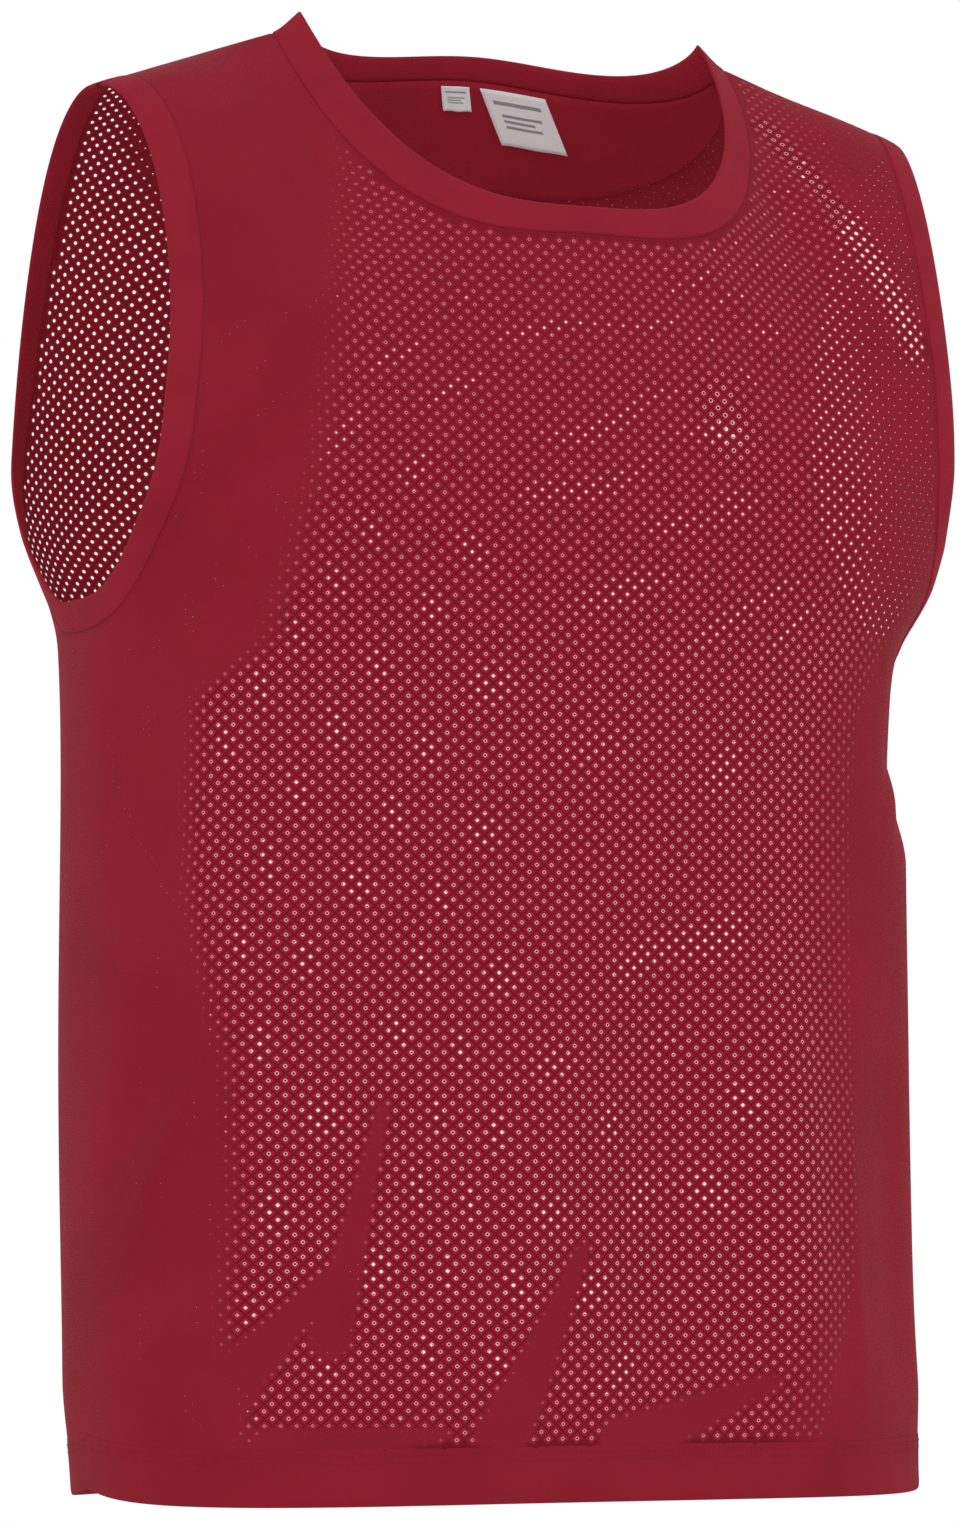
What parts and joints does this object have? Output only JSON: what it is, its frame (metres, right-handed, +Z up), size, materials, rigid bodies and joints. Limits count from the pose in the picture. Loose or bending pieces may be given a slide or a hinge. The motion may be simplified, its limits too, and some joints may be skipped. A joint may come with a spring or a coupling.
{
  "type": "training bib",
  "caption": "Sleeveless open-mesh training bib in its worn, filled-out form with no wearer: round neck, bound armholes, turned-up hem, all open.",
  "frame": {"origin": "midway between the two neck points, where the finished neck edge crosses the wearer's shoulders", "axes": "+Z up, +Y towards the wearer's back, +X towards the wearer's left"},
  "size_m": [0.441, 0.2676, 0.7106],
  "materials": {
    "mesh_red": "matt open knit mesh",
    "band_red": "matt plain knit",
    "label_white": "smooth woven satin"
  },
  "bodies": {
    "root": {"front_panel": "mesh_red", "back_panel": "mesh_red", "neck_band": "band_red", "armhole_band_right": "band_red", "armhole_band_left": "band_red", "back_neck_facing": "band_red", "label_main": "label_white", "label_size": "label_white"}
  },
  "joints": []
}
